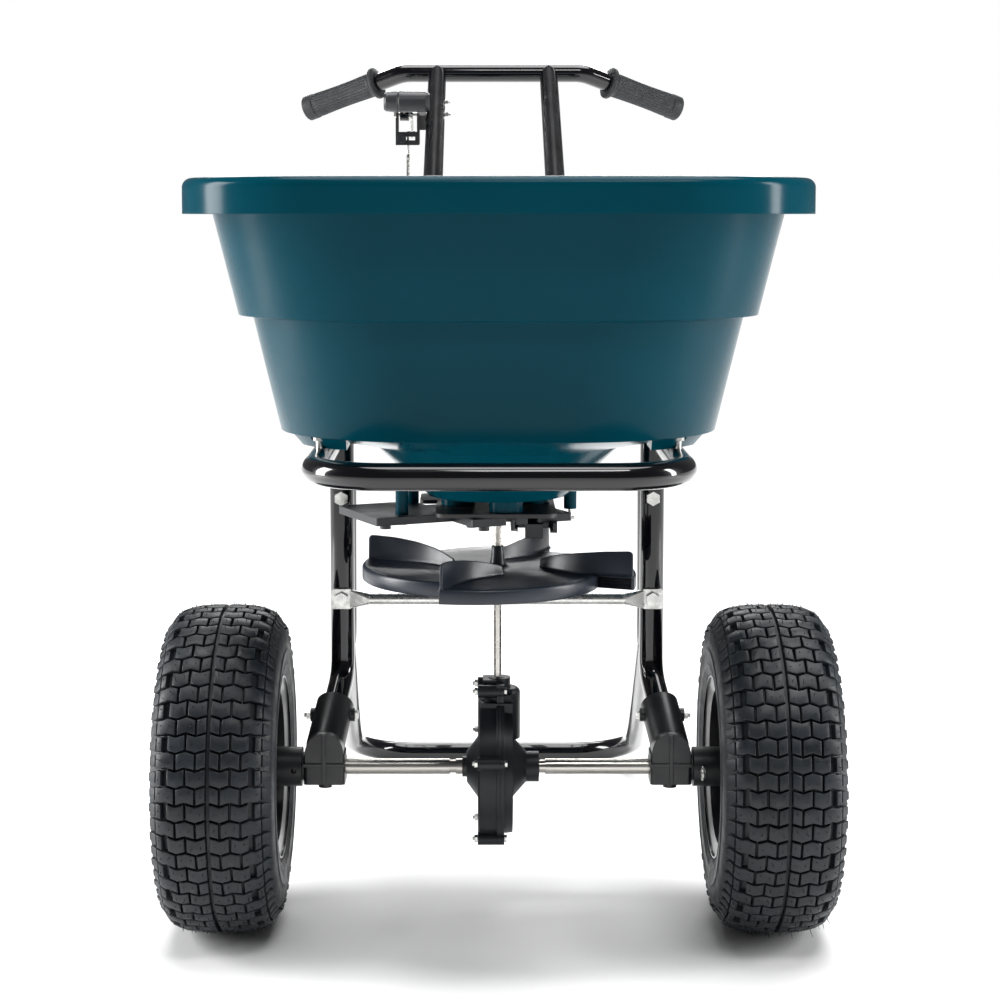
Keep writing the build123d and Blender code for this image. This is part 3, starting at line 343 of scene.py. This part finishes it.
def tread_block(start, end, side, u0, pitch, vertices, faces):
    """One block of the tread, as rings from its foot up to its rounded top."""
    places = columns_of(start, end)
    on_shoulder = end >= 60
    half = pitch / 2 - (2.2 if on_shoulder else 1.15)
    rings = []
    for grow, height in BLOCK_RINGS:
        ring = []
        for top in (False, True):
            for v in (places[::-1] if top else places):
                across = v - grow if v == start else v + grow if v == end else v
                taper = 0.75 if v == end and on_shoulder else 1.0
                u = zigzag(v) + (half * taper + grow if top else -half * taper - grow)
                x, r = on_outline(side * across, height)
                angle = (u0 + u) / TYRE_RADIUS
                ring.append((x, r * math.cos(angle), r * math.sin(angle)))
        rings.append(ring)
    first = len(vertices)
    for ring in rings:
        vertices.extend(ring)
    count = len(rings[0])
    faces.extend(loops_to_faces(len(rings), count, first=first))
    top = first + (len(rings) - 1) * count
    for k in range(count // 2 - 1):
        faces.append((top + k, top + k + 1, top + count - 2 - k, top + count - 1 - k))


TYRE_WALL = [(59.6, 124, 0), (60.0, 119.5, 0), (60.9, 118.8, 0), (60.9, 116.8, 0),
             (60.1, 116.1, 0), (59.9, 110, 0), (59.4, 104, 0), (59.9, 103.2, 0),
             (59.7, 101.4, 0), (58.8, 100.4, 0), (57.6, 97.0, 0), (56.2, 94.6, 0),
             (53.4, 93.6, 0), (51.0, 88, 0), (46.0, 82.4, 0)]
TYRE_INSIDE = [(40.0, 88.0, 0), (-40.0, 88.0, 0)]


def build_tyre(name, body, node, spin):
    """Casing with its side walls, the tread blocks and the moulding hairs, turned by spin."""
    centre = middle_of(node)
    vertices, faces = [], []
    count = TREAD_PAIRS * 8
    tread = [on_outline(v, 0) for v in np.linspace(0, TREAD_EDGE, 25)]
    half = [(x, r, 0.9 if 128 < r < 145 else 0) for x, r in tread] + TYRE_WALL
    profile = [(-x, r, rib) for x, r, rib in reversed(half[1:])] + half + TYRE_INSIDE
    for x, r, rib in profile:
        for k in range(count):
            angle = 2 * math.pi * k / count
            out = x + math.copysign(rib if k % 2 else 0, x)
            vertices.append((out, r * math.cos(angle), r * math.sin(angle)))
    faces.extend(loops_to_faces(len(profile), count))
    last = (len(profile) - 1) * count
    faces.extend((last + k, last + (k + 1) % count, (k + 1) % count, k) for k in range(count))
    pitch = 2 * math.pi * TYRE_RADIUS / (2 * TREAD_PAIRS)
    for row in range(2 * TREAD_PAIRS):
        for side in (-1, 1):
            for start, end in ROWS[row % 2]:
                tread_block(start, end, side, row * pitch, pitch, vertices, faces)
    vertices = [Vector(v) * MM for v in vertices]
    piece = new_piece(name, vertices, faces, body, "tyre_rubber", [node], 50)
    turned = Matrix.Translation(centre) @ Matrix.Rotation(spin, 4, "X")
    piece.data.transform(turned)
    hairs(name + "_vent_hairs", body, turned)


HAIR_SIDES = 5
HAIR_RINGS = ((-0.1, 1.0), (0.5, 0.85), (1.0, 0.45))     # (share of the length, of the width)
HAIR_BEND = 0.45
LOWEST_HAIR = 0.8 * MM     # a hair that ends lower than this would poke through the floor


def hairs(name, body, turned):
    """The stubs and thin hairs of rubber that the vents of the mould leave on a new tyre."""
    vertices, faces = [], []
    pitch = 2 * math.pi / (2 * TREAD_PAIRS)
    for row in range(2 * TREAD_PAIRS):
        for side in (-1, 1):
            for start, end in ROWS[row % 2][:3]:
                for share in ((0.25, 0.75) if end - start > 12 else (0.5,)):
                    long = random.random() < 0.3
                    x, r = on_outline(side * (start + (end - start) * share), TREAD_DEPTH)
                    angle = row * pitch + random.uniform(-0.012, 0.024)
                    foot = Vector((x, r * math.cos(angle), r * math.sin(angle)))
                    up = Vector((x * 0.5, r * math.cos(angle), r * math.sin(angle))).normalized()
                    lean = Vector([random.uniform(-1, 1) for _ in range(3)])
                    length = random.uniform(3.0, 6.5) if long else random.uniform(0.4, 1.3)
                    width = 0.38 if long else 0.62
                    tip = turned @ ((foot + (up + lean * HAIR_BEND) * length) * MM)
                    if tip.z < LOWEST_HAIR:
                        continue
                    first = len(vertices)
                    for part, radius in HAIR_RINGS:
                        bend = lean * length * HAIR_BEND * part * part
                        centre = foot + up * length * part + bend
                        across = up.orthogonal().normalized()
                        other = up.cross(across)
                        for step in range(HAIR_SIDES):
                            turn = 2 * math.pi * step / HAIR_SIDES
                            out = across * math.cos(turn) + other * math.sin(turn)
                            vertices.append(centre + out * radius * width)
                    faces.extend(loops_to_faces(len(HAIR_RINGS), HAIR_SIDES, first=first))
                    top = len(vertices) - HAIR_SIDES
                    faces.append(tuple(top + step for step in range(HAIR_SIDES)))
    piece = new_piece(name, [v * MM for v in vertices], faces, body, "tyre_rubber")
    piece.data.transform(turned)


build_tyre("tyre_turf_right", "drive_axle", "tyre_right", 0.03)
build_tyre("tyre_turf_left", "left_wheel", "tyre_left", 0.11)


# ------------------------------------------------------------------ impeller
LOBES = 4
LOBE_START = 67.0          # degrees, where the first vane meets the rim
LOBE_RADIUS, LOBE_FALL = 146.0, 38.0
DISC_FLOOR_Z = 371.5
VANE_BOW = 12.0            # how far a vane bends behind its chord
VANE_SHARES = (0, 0.006, 0.016, 0.03, 0.05, 0.25, 0.5, 0.7, 0.85, 0.98, 0.99, 1.0)
VANE_HEIGHTS = (20.6, 22.2, 23.3, 23.8, 24.0, 22.8, 19.6, 16.0, 12.4, 8.2, 7.4, 6.0)
HUB = ((4.05, 392.4), (4.4, 393.0), (5.7, 392.9), (6.05, 392.2), (6.5, 384), (7.3, 377),
       (8.2, 374.4), (10.4, 372.3), (13.4, 371.0), (14.0, 369.6), (12.2, 368.4), (11.2, 366),
       (11.0, 353.2), (10.4, 352.1), (4.4, 352.0), (4.05, 352.6))
# Rings of the disc: (inset from the edge, height from DISC_FLOOR_Z), then (radius, height).
IMPELLER_RIM = ((3.2, -2.9), (3.2, -13.6), (2.8, -14.3), (0.9, -14.5), (0.3, -14.0),
                (0.0, -13.0), (0.0, -3.4), (0.35, -1.9), (1.3, -0.7), (2.6, -0.1), (4.4, 0.0),
                (6.6, -0.25), (9.5, -0.9), (16.0, -1.5), (40.0, -1.7), (70.0, -1.2))
IMPELLER_MIDDLE = ((20.0, -0.8), (9.0, -0.6), (9.0, -3.0), (30.0, -3.0))


def on_circle(radius, degrees):
    return radius * math.cos(math.radians(degrees)), radius * math.sin(math.radians(degrees))


def round_body(outline, count, vertices, faces):
    """Turn an outline of (radius, height) about the upright axis."""
    first = len(vertices)
    for r, z in outline:
        vertices.extend((*on_circle(r, 360 * k / count), z) for k in range(count))
    faces.extend(loops_to_faces(len(outline), count, first=first))


def vane(turn, vertices, faces):
    """One upright vane: bowed in plan, high at the rim, with a filleted foot and a rounded top."""
    outer = Vector(on_circle(LOBE_RADIUS - 1.8, turn + 0.6))
    inner = Vector(on_circle(44.0, turn + 29.0))
    chord = inner - outer
    across = Vector((chord.y, -chord.x)).normalized()
    behind = across if across.dot(Vector(on_circle(1.0, turn - 90))) > 0 else -across
    shares = [0.0, 0.006, 0.016, 0.03, 0.05]
    shares += [0.08 + 0.9 * k / 22 for k in range(23)] + [0.99, 1.0]
    first = len(vertices)
    for share in shares:
        spot = outer + chord * share + behind * VANE_BOW * math.sin(math.pi * share) ** 0.9
        ahead = (chord + behind * VANE_BOW * math.pi * math.cos(math.pi * share)).normalized()
        side = Vector((ahead.y, -ahead.x))
        height = np.interp(share, VANE_SHARES, VANE_HEIGHTS)
        half = 1.55 if 0.004 < share < 0.995 else 1.1
        ring = ((half + 2.2, -2.2), (half + 1.4, -1.2), (half + 0.5, -0.1), (half, 1.8),
                (half - 0.2, height - 1.1), (half - 0.6, height - 0.3), (0.0, height))
        ring = ring + tuple((-w, z) for w, z in reversed(ring[:-1]))
        for w, z in ring:
            at = spot + side * w
            vertices.append((at.x, at.y, DISC_FLOOR_Z + z))
    count = len(ring)
    faces.extend(loops_to_faces(len(shares), count, first=first))
    faces.append(tuple(first + k for k in range(count)))
    faces.append(tuple(first + (len(shares) - 1) * count + k for k in range(count)))


def build_impeller(node):
    """Saw-edged disc with a turned-down skirt, four vanes and a filleted hub."""
    middle = middle_of(node)
    steps = 40
    rim = [(LOBE_START + 360 / LOBES * (lobe + step / steps),
            LOBE_RADIUS - LOBE_FALL * step / steps)
           for lobe in range(LOBES) for step in range(steps + 1)]
    count = len(rim)
    vertices, faces = [], []
    for inset, z in IMPELLER_RIM:
        vertices.extend((*on_circle(r - inset, angle), DISC_FLOOR_Z + z) for angle, r in rim)
    for radius, z in IMPELLER_MIDDLE:
        vertices.extend((*on_circle(radius, angle), DISC_FLOOR_Z + z) for angle, _ in rim)
    rings = len(IMPELLER_RIM) + len(IMPELLER_MIDDLE)
    faces.extend(loops_to_faces(rings, count))
    last = (rings - 1) * count
    faces.extend((last + k, last + (k + 1) % count, (k + 1) % count, k) for k in range(count))
    for lobe in range(LOBES):
        vane(LOBE_START + 360 / LOBES * lobe, vertices, faces)
    round_body(HUB, 48, vertices, faces)
    vertices = [Vector(v) * MM + Vector((middle.x, middle.y, 0)) for v in vertices]
    new_piece("impeller_moulded", vertices, faces, "spinner", "impeller_plastic", [node], 38)


build_impeller("impeller")


# ------------------------------------------------------------------ grips
GRIP_WAY = Vector((102.0, 45.0, -34.0)).normalized()
GRIP_RIBS = 26
BAR_KNEE_X = 128.0         # where the handlebar bends down towards a grip
BAR_MIDDLE = Vector((0, 937.0 * MM + AXLE_Y, 928.0 * MM))
GRIP_START = 42.7          # from the knee, along the bar
GRIP_RADIUS = 16.9
# The grip's outline: (distance along it, radius, whether the lengthwise ribs run there).
GRIP_FLANGE = [(0.0, 13.0, 0), (0.0, 21.4, 0), (0.8, 22.6, 0), (2.2, 23.1, 0), (4.6, 22.9, 0),
               (6.0, 21.8, 0), (7.2, 19.6, 0), (8.8, 17.9, 0), (10.5, 17.2, 0),
               (12.0, GRIP_RADIUS, 0), (13.2, GRIP_RADIUS, 1)]
GRIP_WAIST = [(13.2 + 88.6 * k / 24, GRIP_RADIUS - 1.0 * math.sin(math.pi * k / 24), 1)
              for k in range(1, 24)]
GRIP_CAP = [(101.8, 16.6, 1), (103.0, 16.6, 0), (104.2, 16.8, 0), (105.0, 17.8, 0),
            (106.2, 18.3, 0), (117.0, 18.3, 0), (118.8, 17.9, 0), (120.2, 16.6, 0),
            (121.0, 14.6, 0), (121.0, 5.0, 0), (120.4, 0.2, 0)]
RIB_HEIGHTS = (0.0, 0.35, 0.75, 0.75, 0.35, 0.0)


def build_grip(side, node):
    """Moulded rubber grip: flange, lengthwise ribs between two plain bands, and a rounded cap."""
    way = Vector((side * GRIP_WAY.x, GRIP_WAY.y, GRIP_WAY.z))
    knee = BAR_MIDDLE + Vector((side * BAR_KNEE_X * MM, 0, 0))
    start = knee + way * GRIP_START * MM
    across = way.cross(Vector((0, 0, 1))).normalized()
    up = across.cross(way)
    outline = GRIP_FLANGE + GRIP_WAIST + GRIP_CAP
    count = GRIP_RIBS * len(RIB_HEIGHTS)
    vertices = []
    for along, radius, ribbed in outline:
        for k in range(count):
            angle = 2 * math.pi * k / count
            crest = RIB_HEIGHTS[k % len(RIB_HEIGHTS)] if ribbed else 0 if radius > 18 else 0.35
            out = across * math.cos(angle) + up * math.sin(angle)
            vertices.append(start + (way * along + out * (radius + crest - 0.3)) * MM)
    faces = loops_to_faces(len(outline), count)
    last = (len(outline) - 1) * count
    faces.append(tuple(last + k for k in range(count)))
    name = "grip_ribbed_" + ("right" if side > 0 else "left")
    new_piece(name, vertices, faces, "frame", "grip_rubber", [node], 35)


build_grip(1, "handle_grip_right")
build_grip(-1, "handle_grip_left")


# ------------------------------------------------------------------ floor and light
FLOOR_HALF = 30
FLOOR_Z = -0.0005          # just under the tyres
corners = [(x * FLOOR_HALF, y * FLOOR_HALF, FLOOR_Z)
           for x, y in ((-1, -1), (1, -1), (1, 1), (-1, 1))]
floor_mesh = bpy.data.meshes.new("floor")
floor_mesh.from_pydata(corners, [], [(0, 1, 2, 3)])
floor = bpy.data.objects.new("floor", floor_mesh)
floor_mesh.materials.append(look("pale_floor", (0.92, 0.92, 0.92), 0.7, mottle=0.01,
                                 mottle_scale=2, rough_spread=0.03, bumps=((300, 0.02, 2.0),)))
bpy.context.scene.collection.objects.link(floor)

world = bpy.data.worlds.new("studio")
world.use_nodes = True
bpy.context.scene.world = world
tree = world.node_tree
sky = tree.nodes["Background"]
sky.inputs["Color"].default_value = (1.0, 1.0, 1.0, 1)
sky.inputs["Strength"].default_value = 0.11
backdrop = tree.nodes.new("ShaderNodeBackground")    # what the camera itself sees
backdrop.inputs["Color"].default_value = (1.0, 1.0, 1.0, 1)
backdrop.inputs["Strength"].default_value = 1.0
ray = tree.nodes.new("ShaderNodeLightPath")
either = tree.nodes.new("ShaderNodeMixShader")
tree.links.new(ray.outputs["Is Camera Ray"], either.inputs[0])
tree.links.new(sky.outputs[0], either.inputs[1])
tree.links.new(backdrop.outputs[0], either.inputs[2])
tree.links.new(either.outputs[0], tree.nodes["World Output"].inputs["Surface"])


def softbox(name, place, target, size, power):
    """A rectangular lamp; its place is measured from the axle, and it faces the target."""
    light = bpy.data.lights.new(name, "AREA")
    light.shape = "RECTANGLE"
    light.size, light.size_y = size
    light.energy = power
    lamp = bpy.data.objects.new(name, light)
    lamp.location = Vector(place) + Vector((0, AXLE_Y, 0))
    way = Vector(target) - Vector(place)
    lamp.rotation_euler = way.to_track_quat("-Z", "Y").to_euler()
    bpy.context.scene.collection.objects.link(lamp)


softbox("key_left", (-2.5, 0.2, 1.1), (0, 0, 0.6), (0.8, 1.9), 95)
softbox("key_right", (2.6, -0.2, 1.2), (0, 0, 0.6), (0.4, 1.9), 60)
softbox("front_top", (0.5, -1.6, 3.0), (0, 0, 0.5), (1.2, 0.4), 24)
softbox("rear", (0, 2.8, 1.8), (0, 0, 0.6), (1.8, 0.5), 30)

sun = bpy.data.lights.new("ceiling", "SUN")
sun.energy = 3.4
sun.angle = math.radians(50)
ceiling = bpy.data.objects.new("ceiling", sun)
ceiling.rotation_euler = (math.radians(-8), math.radians(4), 0)
bpy.context.scene.collection.objects.link(ceiling)
